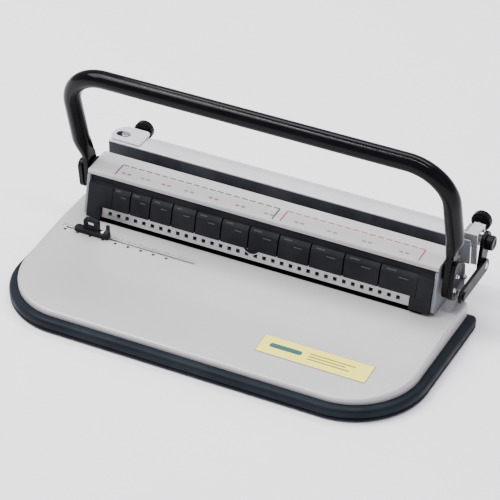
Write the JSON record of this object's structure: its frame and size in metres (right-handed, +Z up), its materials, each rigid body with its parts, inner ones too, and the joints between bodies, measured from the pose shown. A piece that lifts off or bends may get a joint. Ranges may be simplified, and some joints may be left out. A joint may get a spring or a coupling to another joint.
{
  "type": "punch and comb binding machine",
  "caption": "Desktop punch and binding machine: U pull handle, sloping deck, row of small holes, graded gauge blocks, closing slot with rear bar.",
  "frame": {"origin": "middle of the bounding box's footprint, on the table", "axes": "+X to the user's right along the handle bar, +Y to the back, +Z up"},
  "size_m": [0.392, 0.2346, 0.185],
  "materials": {
    "deck_paint": "satin",
    "cover_paint": "satin",
    "black_plastic": "matte",
    "bumper_rubber": "matte",
    "gloss_black": "gloss",
    "black_steel": "satin",
    "zinc": "satin",
    "steel": "satin",
    "bright_steel": "polished",
    "label_yellow": "matte",
    "dark_plastic": "satin",
    "gloss_plastic_black": "gloss"
  },
  "bodies": {
    "base": {"base_tray": "black_plastic", "bumper": "bumper_rubber", "rubber_feet": "bumper_rubber", "base_screws": "bright_steel", "deck_plate": "deck_paint", "label_plate": "label_yellow", "guide_rail": "zinc", "side_frame_left": "cover_paint", "side_frame_right": "cover_paint", "frame_screws": "bright_steel", "shaft_bushes": "black_plastic", "front_fascia": "dark_plastic", "gauge_blocks": "dark_plastic", "ring_strip": "zinc", "centre_mark": "dark_plastic", "top_cover": "cover_paint", "cover_screws": "bright_steel", "closing_channel": "black_plastic", "rear_cover": "cover_paint", "tie_rods": "steel", "die_plate": "black_steel", "pin_guide": "black_steel", "paper_stop": "steel", "guide_posts": "bright_steel", "return_springs": "bright_steel"},
    "drawer": {"chip_drawer": "black_plastic"},
    "guide": {"edge_guide": "dark_plastic", "guide_clamp": "bright_steel"},
    "punch": {"punch_bar": "steel", "punch_pins": "bright_steel"},
    "handle": {"handle_bar": "gloss_black", "handle_ends": "gloss_black", "handle_lever_left": "black_steel", "handle_lever_right": "black_steel", "lever_bolts": "bright_steel", "drive_shaft": "steel", "drive_cams": "steel"},
    "link": {"coupler_link": "black_steel"},
    "rear_crank": {"crank_arm": "black_steel", "rear_shaft": "steel", "closing_cams": "steel"},
    "closer": {"closing_bar": "cover_paint", "closing_jaw": "black_steel", "closing_lugs": "steel", "closing_ear_left": "zinc", "ear_screw": "steel", "closing_ear_right": "zinc"},
    "knob_l": {"knob_left": "gloss_plastic_black"},
    "knob_r": {"knob_right": "gloss_plastic_black"}
  },
  "joints": [
    {"name": "handle_pull", "type": "hinge", "parent": "base", "child": "handle", "pos_m": [0, 0.0447, 0.0623], "axis": [1, 0, 0], "range_deg": [0, 70]},
    {"name": "punch_stroke", "type": "slide", "parent": "base", "child": "punch", "axis": [0, 0, -1], "range_m": [0, 0.005], "deforming": ["return_springs"]},
    {"name": "link_swing", "type": "hinge", "parent": "handle", "child": "link", "pos_m": [0, 0.0367, 0.0433], "axis": [1, 0, 0], "range_deg": [-70, 0]},
    {"name": "rear_crank_turn", "type": "hinge", "parent": "base", "child": "rear_crank", "pos_m": [0, 0.0947, 0.0623], "axis": [1, 0, 0], "range_deg": [0, 70]},
    {"name": "closing_stroke", "type": "slide", "parent": "base", "child": "closer", "axis": [0, -1, 0], "range_m": [0, 0.003]},
    {"name": "knob_left_turn", "type": "hinge", "parent": "closer", "child": "knob_l", "pos_m": [-0.156, 0.1067, 0.0696], "axis": [0, 1, 0], "continuous": true},
    {"name": "knob_right_turn", "type": "hinge", "parent": "closer", "child": "knob_r", "pos_m": [0.173, 0.1067, 0.0696], "axis": [0, 1, 0], "continuous": true},
    {"name": "guide_slide", "type": "slide", "parent": "base", "child": "guide", "axis": [1, 0, 0], "range_m": [-0.016, 0.09]},
    {"name": "drawer_slide", "type": "slide", "parent": "base", "child": "drawer", "axis": [0, 1, 0], "range_m": [0, 0.045]}
  ],
  "couplings": [
    {"joint": "punch_stroke", "follows": "handle_pull", "m_per_rad": 0.0040926},
    {"joint": "link_swing", "follows": "handle_pull", "ratio": -1},
    {"joint": "rear_crank_turn", "follows": "handle_pull", "ratio": 1},
    {"joint": "closing_stroke", "follows": "handle_pull", "m_per_rad": 0.0024555}
  ]
}
